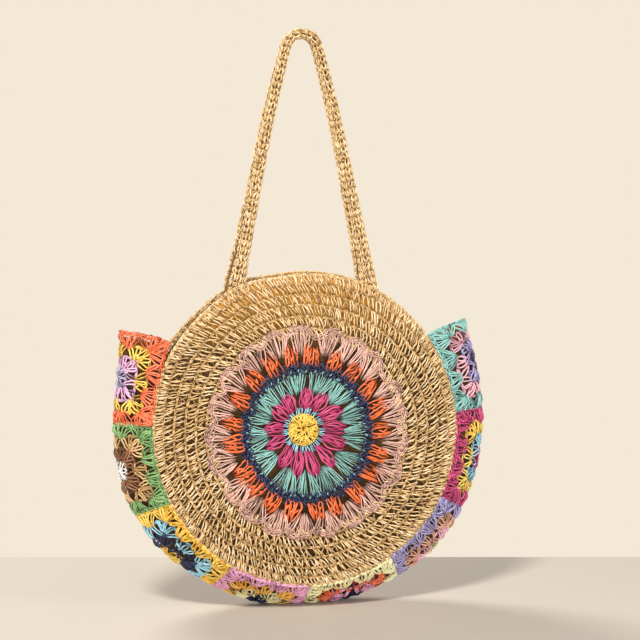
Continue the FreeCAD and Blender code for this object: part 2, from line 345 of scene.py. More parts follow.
def yarn_material(slot):
    """Twisted paper yarn: a tone for each strand with painted shade where it lies deep and painted
    highlight where it is raised, streaks along it and a soft shine.
    """
    material, nodes, links, shader = new_material(f"yarn_{slot}")
    base = linear(COLOURS[slot])
    straw = slot == "straw"
    tone = nodes.new("ShaderNodeAttribute")
    tone.attribute_name = "tone"
    uv = nodes.new("ShaderNodeUVMap")
    uv.uv_map = "strand"
    place = nodes.new("ShaderNodeTexCoord")
    streak = add_noise(nodes, links, uv.outputs[0], {"Scale": STREAK_SCALE, "Detail": STREAK_DETAIL})
    patch = add_noise(nodes, links, place.outputs["Object"], {"Scale": PATCH_SCALE})
    total = add_weighted(nodes, links, [(streak, STREAK_SHARE), (patch, PATCH_SHARE),
                                        (tone.outputs["Fac"], STRAND_SHARE)])
    paleness = STRAW_PALENESS if straw else YARN_PALENESS
    colour = add_ramp(nodes, links, total, [
        (SHADOW_STOP, shadow_tone(base, STRAW_SHADOW if straw else YARN_SHADOW)),
        (MIDDLE_STOP, shade(base, 1.0)),
        (PALE_STOP, shade(base, PALE_FACTOR, paleness * max(base))),
    ])
    links.new(colour, shader.inputs["Base Color"])
    add_bump(nodes, links, shader, streak, *STREAK_BUMP)
    rough = add_math(nodes, links, "MULTIPLY", streak, STREAK_ROUGHNESS)
    rough = add_math(nodes, links, "ADD", rough, YARN_ROUGHNESS)
    links.new(rough, shader.inputs["Roughness"])
    set_inputs(shader, {"Specular IOR Level": YARN_SPECULAR})
    return material


def lining_material():
    """Plain woven cloth with a fine over-and-under weave, and painted shade that darkens it low down in
    the bag.
    """
    material, nodes, links, shader = new_material("lining_cloth")
    base = linear(COLOURS["lining"])
    place = nodes.new("ShaderNodeTexCoord").outputs["Object"]
    weave = []
    for direction in ("X", "Z"):
        wave = nodes.new("ShaderNodeTexWave")
        wave.bands_direction = direction
        set_inputs(wave, {"Scale": WEAVE_SCALE, "Distortion": WEAVE_DISTORTION})
        links.new(place, wave.inputs["Vector"])
        weave.append(wave.outputs["Fac"])
    crossing = add_math(nodes, links, "MULTIPLY", weave[0], weave[1])
    patch = add_noise(nodes, links, place, {"Scale": CLOTH_PATCH_SCALE})
    # Painted shade: the cloth darkens from LINING_LIGHT_Z down to LINING_DARK_Z
    axes = nodes.new("ShaderNodeSeparateXYZ")
    links.new(place, axes.inputs[0])
    height = nodes.new("ShaderNodeMapRange")
    set_inputs(height, {"From Min": LINING_DARK_Z, "From Max": LINING_LIGHT_Z})
    links.new(axes.outputs["Z"], height.inputs["Value"])
    total = add_weighted(nodes, links, [(crossing, WEAVE_SHARE), (patch, CLOTH_PATCH_SHARE),
                                        (height.outputs["Result"], HEIGHT_SHARE)])
    colour = add_ramp(nodes, links, total, [
        (LINING_STOPS[0], shadow_tone([LINING_SHADOW * c for c in base], STRAW_SHADOW)),
        (LINING_STOPS[1], shade(base, LINING_LIGHT)),
    ])
    links.new(colour, shader.inputs["Base Color"])
    add_bump(nodes, links, shader, crossing, *WEAVE_BUMP)
    set_inputs(shader, {"Roughness": CLOTH_ROUGHNESS, "Sheen Weight": CLOTH_SHEEN})
    return material


MATERIALS = {slot: yarn_material(slot) for slot in COLOURS if slot != "lining"}
MATERIALS["lining"] = lining_material()


# Charts: each carries flat points (x, y, lift) onto a surface and returns places and normals

def unit(vectors):
    return vectors / np.linalg.norm(vectors, axis=-1, keepdims=True)


def lifted(surface, outward):
    """A chart over a surface: outward is 1 or -1, the side on which lift is counted."""
    def chart(points):
        x, y, lift = points[..., 0], points[..., 1], points[..., 2]
        here = surface(x, y)
        normal = np.cross(surface(x + SURFACE_STEP, y) - here, surface(x, y + SURFACE_STEP) - here)
        normal = outward * unit(normal)
        return here + lift[..., None] * normal, normal

    return chart


def slow_wave(x, y, size, lengths, phases):
    return size * np.sin(x / lengths[0] + phases[0]) * np.sin(y / lengths[1] + phases[1])


def panel_surface(side):
    """A round panel: the work hangs a little low inside its rim and bows outward."""
    def surface(x, y):
        inside = 1 - (x * x + y * y) / PANEL_RADIUS ** 2
        up = y + inside * (PANEL_STRETCH * y - PANEL_SAG)
        near_top = (y / PANEL_RADIUS - TOP_SHARE) / (1 - TOP_SHARE)
        near_top = np.clip(near_top, 0.0, TOP_LIMIT) ** TOP_POWER
        pull = FOOT_PULL * np.exp(-((np.abs(x) - LEG_SPREAD) / PULL_REACH) ** 2)
        up = up + near_top * (pull - TOP_DROP[side])
        flower = np.exp(-(x * x + y * y) / FLOWER_REACH ** 2)
        up = up + FLOWER_RISE * flower + slow_wave(x, y, *UP_WAVE)
        right = x + FLOWER_SHIFT * flower + slow_wave(x, y, *SIDE_WAVE)
        bow = PANEL_BOW * inside + slow_wave(x, y, *BOW_WAVE)
        depth = HALF_DEPTH - up * math.sin(LEAN) + bow * math.cos(LEAN)
        return np.stack([right, side * depth, PANEL_Z + up * math.cos(LEAN)], axis=-1)

    return surface


def gusset_surface(x, y):
    """The gusset: x runs along the squares from the left end, y from the front edge to the back."""
    run = np.interp(x / SQUARE, SQUARE_STEPS, SQUARE_STARTS)
    share = np.abs(y) / HALF_SQUARE
    softness = RIDGE_SOFTNESS + RIGHT_SOFTNESS * np.maximum(0.0, np.cos(GUSSET_START + run))
    drop = np.sqrt(share ** 2 + softness ** 2) - softness
    drop = drop / (np.sqrt(1 + softness ** 2) - softness)
    left_end = np.clip(1 - run / SPLAY_ANGLE, 0.0, SPLAY_LIMIT) ** 2
    right_end = np.clip(1 - (GUSSET_TURN - run) / SPLAY_ANGLE, 0.0, SPLAY_LIMIT) ** 2
    angle = GUSSET_START + run
    angle = angle + left_end * (LEFT_END_RIDGE + (LEFT_END_EDGE - LEFT_END_RIDGE) * drop)
    right_edge = np.where(y < 0, RIGHT_END_EDGE, RIGHT_END_BACK)
    angle = angle + right_end * (RIGHT_END_RIDGE + (right_edge - RIGHT_END_RIDGE) * drop)
    sine = np.sin(angle)
    depth = HALF_DEPTH - PANEL_RADIUS * sine * math.sin(LEAN)
    bulge = np.sqrt((HALF_SQUARE - RIDGE) ** 2 - (depth - RIDGE) ** 2)
    bulge = bulge + BASE_BULGE * np.maximum(0.0, -sine) ** BULGE_POWER
    for middle, reach, size in SIDE_SWELLS:
        bulge = bulge + size * np.exp(-((angle - middle) / reach) ** 2)
    splay = (LEFT_SPLAY + (LEFT_EDGE_SPLAY - LEFT_SPLAY) * drop) * left_end
    splay = splay + (RIGHT_SPLAY + (RIGHT_EDGE_SPLAY - RIGHT_SPLAY) * drop) * right_end
    radius = PANEL_RADIUS + bulge * (1 - drop) + splay
    height = np.maximum(PANEL_Z + radius * sine * math.cos(LEAN), FLOOR_CLEARANCE)
    return np.stack([radius * np.cos(angle), depth * y / HALF_SQUARE, height], axis=-1)


def handle_path():
    """Points along the middle of a handle, from the left foot over the arch to the right foot."""
    arch_z = HANDLE_RISE - ARCH_RADIUS - CORD_RADIUS
    reach = math.hypot(LEG_SPREAD, arch_z)
    angle = math.atan2(LEG_SPREAD, arch_z) - math.asin(ARCH_RADIUS / reach)
    turn = np.linspace(angle, math.pi - angle, ARCH_POINTS)
    arch = np.stack([ARCH_RADIUS * np.cos(turn), arch_z + ARCH_RADIUS * np.sin(turn)], axis=-1)
    heights = np.linspace(-FOOT_DROP, arch[0, 1], LEG_POINTS)[:-1]
    line = arch[0, 0] + (arch[0, 1] - heights) * math.tan(angle)
    rise = (heights + FOOT_DROP) / (arch[0, 1] + FOOT_DROP)
    right = np.stack([line + LEG_BOW * np.sin(math.pi * rise ** 2), heights], axis=-1)
    left = right[::-1] * np.array([-1.0, 1.0])
    return np.concatenate([right, arch, left])[::-1]


HANDLE_PATH = handle_path()
path_steps = np.linalg.norm(np.diff(HANDLE_PATH, axis=0), axis=1)
HANDLE_STEPS = np.concatenate([[0.0], np.cumsum(path_steps)])
HANDLE_LENGTH = HANDLE_STEPS[-1]


def handle_surface(side):
    """A strap that is flat at its feet and rolled into a cord along the legs and the arch."""
    def middle(y):
        return (np.interp(y, HANDLE_STEPS, HANDLE_PATH[:, 0]),
                np.interp(y, HANDLE_STEPS, HANDLE_PATH[:, 1]))

    def surface(x, y):
        px, pz = middle(y)
        ax, az = middle(y - TANGENT_REACH)
        bx, bz = middle(y + TANGENT_REACH)
        tangent = unit(np.stack([bx - ax, bz - az], axis=-1))
        from_foot = np.minimum(y, HANDLE_LENGTH - y) - FOOT_DROP
        rolled = 1 - np.exp(-np.maximum(from_foot, 0.0) / CURL_LENGTH)
        curl = FOOT_CURL + (STRAP_CURL - FOOT_CURL) * rolled
        turn = FULL_TURN * curl * x / STRAP_WIDTH
        radius = STRAP_WIDTH / (FULL_TURN * curl)
        across = radius * np.sin(turn)
        out = STRAP_FLATNESS * (radius * (np.cos(turn) - 1) + STRAP_WIDTH / FULL_TURN * curl)
        forward = FOLD_Y - HANDLE_MIDDLE + out - pz * math.tan(HANDLE_LEAN)
        return np.stack([px + across * tangent[..., 1], side * forward,
                         FOLD_Z + pz - across * tangent[..., 0]], axis=-1)

    return surface


def resting(chart):
    """The same chart, with nothing lower than the floor."""
    def rested(points):
        places, normals = chart(points)
        places[..., 2] = np.maximum(places[..., 2], FLOOR_GAP)
        return places, normals

    return rested


PANEL_CHARTS = {side: lifted(panel_surface(side), -side) for side in SIDE_NAMES}
GUSSET_CHART = resting(lifted(gusset_surface, -1))
HANDLE_CHARTS = {side: lifted(handle_surface(side), -side) for side in SIDE_NAMES}


# Stitches: strands on a chart, as arrays of (strand, point, (x, y, lift))

def crosswise(direction):
    return np.stack([direction[..., 1], -direction[..., 0]], axis=-1)


def loosened(points, loose):
    return points + rng.normal(0, loose, points.shape)


def varied(count, spread):
    """A factor for each strand, near one."""
    return rng.normal(1, spread, (count, 1, 1))


# One tall stitch, from the end of a leg to its bend: distance from the bend as a share of the stitch's
# height, and distance to the side as a share of half its width. The other leg mirrors it.
half_share = np.array([1.0, 0.8, 0.6, 0.4, 0.2, 0.06, 0.0])
half_side = np.array([1.0, 1.0, 1.0, 1.0, 1.0, 0.75, 0.0])
LEG_SHARE = np.concatenate([half_share, half_share[-2::-1]])[None, :, None]
LEG_SIDE = np.concatenate([-half_side, half_side[-2::-1]])[None, :, None]
LEG_SWAY = 0.35
HUMP_START = 0.12
HUMP_SPAN = 0.82
LEG_TILT = 0.6
BEND_TILT = 0.1


def hairpins(bend, ends, gap=2.6, flare=0.5, belly=0.2, hump=1.8, lift=0.2, loose=0.4, vary=0.2,
             dip=0.0):
    """Tall stitches: each strand runs in from its ends, round its bend and back beside itself."""
    count = len(bend)
    bend, ends = loosened(bend, loose), loosened(ends, loose)
    along = ends - bend
    across = crosswise(unit(along))[:, None]
    width = 1 + (flare * varied(count, vary) - 1) * LEG_SHARE + belly * np.sin(math.pi * LEG_SHARE)
    width = gap / 2 * width * varied(count, vary)
    sway = LEG_SWAY * gap * rng.normal(0, vary, (count, 1, 1)) * np.sin(math.pi * LEG_SHARE)
    place = bend[:, None] + along[:, None] * LEG_SHARE + across * (LEG_SIDE * width + sway)
    level = lift + hump * np.sin(math.pi * (HUMP_START + HUMP_SPAN * LEG_SHARE)) * varied(count, vary)
    level = level + LEG_SIDE * (LEG_TILT * LEG_SHARE - BEND_TILT) * rng.choice([-1, 1], (count, 1, 1))
    level = level - dip * (2 * LEG_SHARE - 1) ** 4
    return loosened(np.concatenate([place, level], axis=-1), KINK)


WRAP_POINTS = 6
WRAP_SCATTER = 0.06
WRAP_ROUNDNESS = 0.6


def wraps(bend, ends, width, start, stop, lift, hump=1.5):
    """The turn of yarn that crosses each tall stitch on its face."""
    count = len(bend)
    along = ends - bend
    across = crosswise(unit(along))[:, None]
    t = np.linspace(0, 1, WRAP_POINTS)[None, :, None]
    share = start + (stop - start) * t + rng.normal(0, WRAP_SCATTER, (count, 1, 1))
    place = bend[:, None] + along[:, None] * share + across * width * (2 * t - 1)
    level = lift + hump * np.sin(math.pi * t) ** WRAP_ROUNDNESS + np.zeros((count, 1, 1))
    return np.concatenate([place, level], axis=-1)


STRAND_POINTS = 11
STRAND_ROUNDNESS = 0.8
STRAND_VARY = 0.25
STRAND_WAVES = 1.5


def strands(base, top, bulge, hump, lift, loose, wave=0.0):
    """Single strands from base points to top points, each bowed sideways by its own bulge."""
    count = len(base)
    base, top = loosened(base, loose), loosened(top, loose)
    along = top - base
    across = crosswise(unit(along))[:, None]
    t = np.linspace(0, 1, STRAND_POINTS)[None, :, None]
    swell = np.sin(math.pi * t) ** STRAND_ROUNDNESS
    ripple = wave * np.sin(FULL_TURN * (STRAND_WAVES * t + rng.uniform(0, 1, (count, 1, 1))))
    aside = swell * np.asarray(bulge)[:, None, None] + ripple
    place = base[:, None] + along[:, None] * t + across * aside
    level = lift + hump * swell * varied(count, STRAND_VARY)
    return np.concatenate([place, level], axis=-1)


# One loop of a chain: places along a link, and how wide and how high the loop is there
CHAIN_SPOTS = np.array([0.0, 0.3, 0.6, 0.9, 1.2])
CHAIN_SPREAD = np.array([0.55, 1.0, 0.95, 0.55, 0.1])
CHAIN_LEVEL = np.array([0.1, 0.75, 1.0, 0.75, 0.3])


def chain(line, width=1.1, hump=0.9, lift=0.5, closed=True, loose=0.2):
    """Interlocking loops along a line of points, as the top edge of a round of stitches."""
    line = loosened(line, loose)
    start = line if closed else line[:-1]
    end = np.roll(line, -1, axis=0) if closed else line[1:]
    along = end - start
    across = crosswise(unit(along))[:, None]
    middle = start[:, None] + along[:, None] * CHAIN_SPOTS[None, :, None]
    level = np.broadcast_to(lift + hump * CHAIN_LEVEL[None, :, None], middle.shape[:2] + (1,))
    legs = []
    for sign in (-1, 1):
        offset = sign * width * CHAIN_SPREAD[None, :, None]
        legs.append(np.concatenate([middle + across * offset, level], axis=-1))
    return np.concatenate(legs)


def polar(angle, radius):
    angle, radius = np.broadcast_arrays(angle, radius)
    return np.stack([radius * np.cos(angle), radius * np.sin(angle)], axis=-1)


ROUND_SCATTER = 0.1
ROUND_WRAP = {"width": 1.7, "start": 0.2, "stop": 0.8}
ROUND_WRAP_LIFT = 1.2


def crochet_round(inner, outer, count, phase=0.0, slant=0.8, wrapped=0.0, lift=0.2, edge_width=0.9,
                  edge_lift=0.3, **stitch):
    """A full round of tall stitches on a panel, closed by its chain of loops."""
    step = FULL_TURN / count
    angle = phase + np.arange(count) * step + rng.normal(0, ROUND_SCATTER * step, count)
    tops, feet = polar(angle + slant * step, outer), polar(angle, inner)
    groups = [hairpins(tops, feet, lift=lift, **stitch), chain(tops, edge_width, lift=lift + edge_lift)]
    chosen = rng.uniform(0, 1, count) < wrapped
    if chosen.any():
        groups.append(wraps(tops[chosen], feet[chosen], lift=lift + ROUND_WRAP_LIFT, **ROUND_WRAP))
    return groups


def shells(base, axis, half_width, height, count, base_half, shoulder, skew=0.0):
    """Bends and ends of fans: stitches that spread from each base point to an arc over it."""
    place = np.linspace(-1, 1, count)[None, :, None]
    across = crosswise(axis)[:, None]
    rise = height * (shoulder + (1 - shoulder) * np.cos(math.pi / 2 * place))
    lean = rng.normal(0, skew, (len(base), 1, 1))
    tips = base[:, None] + across * (half_width * place + lean) + axis[:, None] * rise
    feet = base[:, None] + across * base_half * place
    return tips.reshape(-1, 2), feet.reshape(-1, 2)


def fans(count, phase, stitches, inner, outer, foot_half, tip_half, dome=0.0, skew=0.0):
    """Bends and ends of fans round a panel: stitches that spread from each foot to an arc of tips."""
    middle = phase + np.arange(count) / count * FULL_TURN + rng.normal(0, skew, count)
    place = np.linspace(-1, 1, stitches)
    lean = rng.normal(0, skew, (count, 1))
    tips = polar(middle[:, None] + tip_half * place + lean, outer - dome * place ** 2)
    feet = polar(middle[:, None] + foot_half * place, inner)
    return tips.reshape(-1, 2), feet.reshape(-1, 2)


# Meshes

def tube_arrays(paths, chart, radius, depth_shade_share, brightness=1.0):
    """Vertices, faces, strand coordinates and tones of flattened, twisted tubes along the strands, the
    tones with painted shade and highlight by depth.
    """
    places, normals = chart(paths)
    count, points = paths.shape[:2]
    tangent = unit(np.gradient(places, axis=1))
    side = unit(np.cross(normals, tangent))
    up = np.cross(tangent, side)
    steps = np.linalg.norm(np.diff(places, axis=1), axis=-1)
    along = np.concatenate([np.zeros((count, 1)), np.cumsum(steps, axis=1)], axis=1)
    twist = rng.uniform(0, math.pi, (count, 1)) + along * rng.normal(0.0, TWIST_SPREAD, (count, 1))
    flat_side = np.cos(twist)[..., None] * side + np.sin(twist)[..., None] * up
    flat_up = np.cos(twist)[..., None] * up - np.sin(twist)[..., None] * side
    ends = np.ones(points)
    ends[[0, -1]] = END_TAPER
    size = radius * ends[None, :] * rng.normal(1.0, YARN_SPREAD, (count, 1))
    turn = np.arange(TUBE_SIDES) / TUBE_SIDES * FULL_TURN
    ring = (YARN_WIDTH * np.cos(turn)[:, None] * flat_side[:, :, None] +
            YARN_HEIGHT * np.sin(turn)[:, None] * flat_up[:, :, None])
    vertices = places[:, :, None] + size[:, :, None, None] * ring
    index = np.arange(count * points * TUBE_SIDES).reshape(count, points, TUBE_SIDES)
    nearer = np.roll(index, -1, axis=2)
    walls = np.stack([index[:, :-1], nearer[:, :-1], nearer[:, 1:], index[:, 1:]], axis=-1)
    # Two four-sided faces close each end of a six-sided tube
    first, last = index[:, 0], index[:, -1]
    caps = np.concatenate([first[:, [3, 2, 1, 0]], first[:, [5, 4, 3, 0]],
                           last[:, [0, 1, 2, 3]], last[:, [0, 3, 4, 5]]])
    faces = np.concatenate([walls.reshape(-1, 4), caps])
    offset = rng.uniform(0, STREAK_STARTS, (count, 1, 1))
    lengthwise = along[:, :, None] * STREAKS_ALONG + offset
    coordinates = np.broadcast_arrays(lengthwise, turn[None, None] * STREAKS_AROUND)
    coordinates = np.stack(coordinates, axis=-1).reshape(-1, 2)
    # Painted shade and highlight: a point's tone rises with its lift among the group's points, so recessed
    # parts darken and raised parts pale; the rest of the tone differs at random for each strand
    low, high = np.percentile(paths[..., 2], DEPTH_RANGE)
    raised = np.clip((paths[..., 2:] - low) / max(high - low, 1.0), 0.0, 1.0)
    tone = depth_shade_share * raised + (1 - depth_shade_share) * rng.uniform(0, 1, (count, 1, 1))
    tone = np.broadcast_to(brightness * tone, (count, points, TUBE_SIDES))
    return vertices.reshape(-1, 3), faces, coordinates, tone.reshape(-1)


def make_mesh(name, vertices, faces):
    mesh = bpy.data.meshes.new(name)
    mesh.vertices.add(len(vertices))
    mesh.vertices.foreach_set("co", (vertices * MM).astype(np.float32).ravel())
    mesh.loops.add(faces.size)
    mesh.loops.foreach_set("vertex_index", faces.astype(np.int32).ravel())
    mesh.polygons.add(len(faces))
    mesh.polygons.foreach_set("loop_start", np.arange(0, faces.size, 4, dtype=np.int32))
    mesh.update(calc_edges=True)
    mesh.polygons.foreach_set("use_smooth", np.ones(len(faces), dtype=bool))
    return mesh


def add_object(name, mesh, slot, nodes):
    item = bpy.data.objects.new(name, mesh)
    bpy.context.scene.collection.objects.link(item)
    mesh.materials.append(MATERIALS[slot])
    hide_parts(*nodes)
    return item


def crocheted(name, groups, chart, slot, nodes, radius=YARN_RADIUS, under=(), depth_shade_share=DEPTH_SHADE_SHARE,
              brightness=1.0):
    """One crocheted piece from groups of strands on a chart, some of them lying under the others with
    painted shade on their tones.
    """
    parts = [tube_arrays(group, chart, radius, depth_shade_share, brightness) for group in groups]
    parts += [tube_arrays(group, chart, radius, depth_shade_share, UNDER_SHADE_FACTOR) for group in under]
    starts = np.cumsum([0] + [len(part[0]) for part in parts[:-1]])
    vertices = np.concatenate([part[0] for part in parts])
    faces = np.concatenate([part[1] + start for part, start in zip(parts, starts)])
    mesh = make_mesh(name, vertices, faces)
    coordinates = np.concatenate([part[2] for part in parts])
    layer = mesh.uv_layers.new(name="strand")
    layer.data.foreach_set("uv", coordinates[faces.ravel()].astype(np.float32).ravel())
    tone = mesh.attributes.new("tone", "FLOAT", "POINT")
    tone.data.foreach_set("value", np.concatenate([part[3] for part in parts]).astype(np.float32))
    return add_object(name, mesh, slot, nodes)


# Panels and their edging

EDGING_WIDTH = 9.0
EDGING_PITCH = 5.6
EDGING_OVERLAP = 2.0
EDGING_MARGIN = 0.6
EDGING_FACE = {
    "wrapped": 0.3, "gap": 2.8, "flare": 0.9, "belly": 0.0, "hump": 2.3, "loose": 0.6, "vary": 0.3,
    "dip": 0.8, "edge_width": 0.6, "edge_lift": -1.4,
}
EDGING_BACK = {"phase": 0.02, "slant": 0.7, "lift": -4.2, "gap": 2.7, "flare": 0.95, "hump": 0.8}
# Chains turned over the edge: reach past the rim, lift and phase
EDGE_CHAINS = ((-0.4, -1.0, -1.0), (-0.6, -3.0, -3.0))
EDGE_CHAIN = {"width": 1.1, "loose": 0.35}

FRONT_START = 97.0
BACK_START = 6.0
ROUND_HEIGHT = 12.3
ROUND_SINK = 0.8
STITCH_PITCH = 6.6
LEAST_STITCHES = 9
STRAW_STITCH = {
    "slant": 0.95, "wrapped": 0.2, "lift": 0.0, "gap": 2.5, "flare": 1.55, "belly": 0.1, "hump": 2.8,
    "loose": 0.6, "vary": 0.3, "dip": 2.3, "edge_width": 0.75, "edge_lift": -1.3,
}
# Strands behind the straw stitches: slant as a share of the pitch, and margins inside the round
UNDER_SLANT = 0.7
UNDER_TOP = 1.5
UNDER_FOOT = 0.5
UNDER_BULGE = 1.0
UNDER_STRAND = {"hump": 1.2, "lift": -1.6, "loose": 0.8}


def make_panel(side, first_radius):
    """Rounds of open straw stitches from a first radius out to the edging."""
    name = SIDE_NAMES[side]
    outer = PANEL_RADIUS - EDGING_WIDTH
    rounds = int(round((outer - first_radius) / ROUND_HEIGHT))
    height = (outer - first_radius) / rounds
    for number in range(rounds):
        inner = first_radius + number * height
        count = max(LEAST_STITCHES, int(round(FULL_TURN * (inner + height / 2) / STITCH_PITCH)))
        foot = inner - ROUND_SINK
        groups = crochet_round(foot, foot + height, count, rng.uniform(0, 1), **STRAW_STITCH)
        turn = (np.arange(count) + rng.uniform(0, 1, count)) / count * FULL_TURN
        tops = polar(turn - UNDER_SLANT / count * FULL_TURN, inner + height - UNDER_TOP)
        feet = polar(turn, inner + UNDER_FOOT)
        under = strands(tops, feet, rng.normal(0, UNDER_BULGE, count), **UNDER_STRAND)
        piece = crocheted(f"{name}_straw_round_{number + 1}", groups, PANEL_CHARTS[side], "straw",
                          [f"{name}_panel"], STRAW_RADIUS, [under], brightness=PANEL_BRIGHTNESS)
        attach(piece, "bag")


def make_edging(side):
    """The closing round, with its chains of loops turned over the edge of the panel."""
    name = SIDE_NAMES[side]
    inner = PANEL_RADIUS - EDGING_WIDTH - EDGING_OVERLAP
    outer = PANEL_RADIUS - EDGING_MARGIN
    count = int(round(FULL_TURN * PANEL_RADIUS / EDGING_PITCH))
    groups = crochet_round(inner, outer, count, **EDGING_FACE)
    groups += crochet_round(inner, outer, count, **EDGING_BACK)
    turn = np.arange(count) / count * FULL_TURN
    for reach, lift, phase in EDGE_CHAINS:
        groups.append(chain(polar(turn + phase, PANEL_RADIUS + reach), lift=lift, **EDGE_CHAIN))
    piece = crocheted(f"{name}_edging_stitches", groups, PANEL_CHARTS[side], "straw",
                      [f"{name}_edging"], STRAW_RADIUS)
    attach(piece, "bag")


# Medallion on the front panel: radii from its middle in millimetres, fans by half angles in radians

PETALS = 13
CLUSTERS = 21
PETAL_PHASE = math.radians(90)
CLUSTER_PHASE = math.radians(102)
BETWEEN_PETALS = PETAL_PHASE + math.pi / PETALS
BETWEEN_CLUSTERS = CLUSTER_PHASE + math.pi / CLUSTERS
RING_SCATTER = 0.015
MEDALLION_LIFT = 1.6

CENTRE_ROUNDS = [
    {"inner": 7.0, "outer": 15.0, "count": 16, "slant": 0.6, "wrapped": 0.8, "lift": 2.4, "gap": 2.5,
     "flare": 0.7, "hump": 2.6, "loose": 1.1},
    {"inner": 1.0, "outer": 9.0, "count": 9, "slant": 0.5, "wrapped": 0.6, "lift": 3.8, "gap": 2.4,
     "hump": 1.8, "loose": 0.6},
]
BLUE_RADIUS = 13.5
BLUE_SHELL = {"half_width": 2.0, "height": 10.5, "count": 2, "base_half": 1.4, "shoulder": 0.95}
BLUE_STITCH = {"gap": 1.9, "flare": 0.9, "hump": 1.2, "lift": MEDALLION_LIFT}
PETAL_RADIUS = 20.0
PETAL_STRANDS = 7
PETAL_BULGE = 5.0
PETAL_CLUSTER = {"foot_half": 1.2, "tip_half": 1.5, "height": 25.5, "lean": 0.0, "lean_spread": 1.2}
PETAL_STRAND = {"hump": 3.4, "lift": MEDALLION_LIFT, "loose": 0.7, "wave": 0.6}
PETAL_WRAP = {"width": 1.5, "start": 0.25, "stop": 0.55, "hump": 0.8, "lift": 4.2}
TEAL_FAN = {"stitches": 8, "inner": 38.5, "outer": 63.5, "foot_half": 0.115, "tip_half": 0.23,
            "dome": 0.8, "skew": 0.035}
TEAL_STITCH = {"gap": 2.2, "flare": 0.5, "hump": 2.0, "lift": MEDALLION_LIFT, "loose": 0.8, "vary": 0.35}
TEAL_WRAP = {"width": 0.8, "start": 0.2, "stop": 0.8, "hump": 1.0, "lift": 3.5}
TEAL_WRAP_SPAN = (1.05, 0.96)
NAVY_STITCH = {"wrapped": 0.4, "lift": MEDALLION_LIFT, "gap": 3.0, "flare": 0.8, "hump": 2.4,
               "edge_width": 1.2}
NAVY_ROUNDS = [
    {"inner": 60.0, "outer": 66.0, "count": 60, "loose": 0.7},
    {"inner": 65.0, "outer": 72.0, "count": 64, "phase": 0.1, "loose": 0.9},
]
ORANGE_RADIUS = 68.5
ORANGE_STITCHES = 3
ORANGE_CLUSTER = {"foot_half": 6.4, "tip_half": 4.0, "height": 22.5, "lean": -1.5, "lean_spread": 1.5}
ORANGE_STITCH = {"gap": 3.6, "flare": 0.55, "hump": 3.2, "lift": 2.0, "loose": 1.1, "vary": 0.35}
ORANGE_WRAP = {"width": 1.7, "start": 0.3, "stop": 0.55, "hump": 1.0, "lift": 4.1}
ORANGE_CROSS = {"width": -1.7, "start": 0.55, "stop": 0.8, "hump": 1.0, "lift": 3.9}
PINK_FAN = {"stitches": 7, "inner": 81.0, "outer": 107.5, "foot_half": 0.058, "tip_half": 0.142,
            "dome": 8.0, "skew": 0.015}
PINK_STITCH = {"gap": 2.5, "flare": 0.5, "hump": 2.2, "lift": MEDALLION_LIFT, "loose": 1.0, "vary": 0.35}
# Chains along the scalloped edge: share of the tips' radius, and lift
PINK_CHAINS = ((1.012, 2.2), (0.985, 3.0))
PINK_CHAIN = {"width": 1.1, "loose": 0.9}


def ring_of(count, radius, phase):
    """Points round the medallion and the outward direction at each."""
    angle = phase + np.arange(count) / count * FULL_TURN + rng.normal(0, RING_SCATTER, count)
    return polar(angle, radius), polar(angle, 1.0)


def clusters(base, axis, stitches, foot_half, tip_half, height, lean, lean_spread):
    """Feet and tips of clusters: stitches side by side from each base point, leaning together."""
    place = np.linspace(-1, 1, stitches)[None, :, None]
    across = crosswise(axis)[:, None]
    aside = rng.normal(lean, lean_spread, (len(base), 1, 1))
    feet = base[:, None] + across * foot_half * place
    tips = base[:, None] + across * (tip_half * place + aside) + axis[:, None] * height
    return feet.reshape(-1, 2), tips.reshape(-1, 2)


def medallion_piece(name, groups, slot, radius, brightness=1.0):
    piece = crocheted(f"medallion_{name}_stitches", groups, PANEL_CHARTS[FRONT], slot,
                      [f"medallion_{name}"], radius, brightness=brightness)
    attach(piece, "bag")


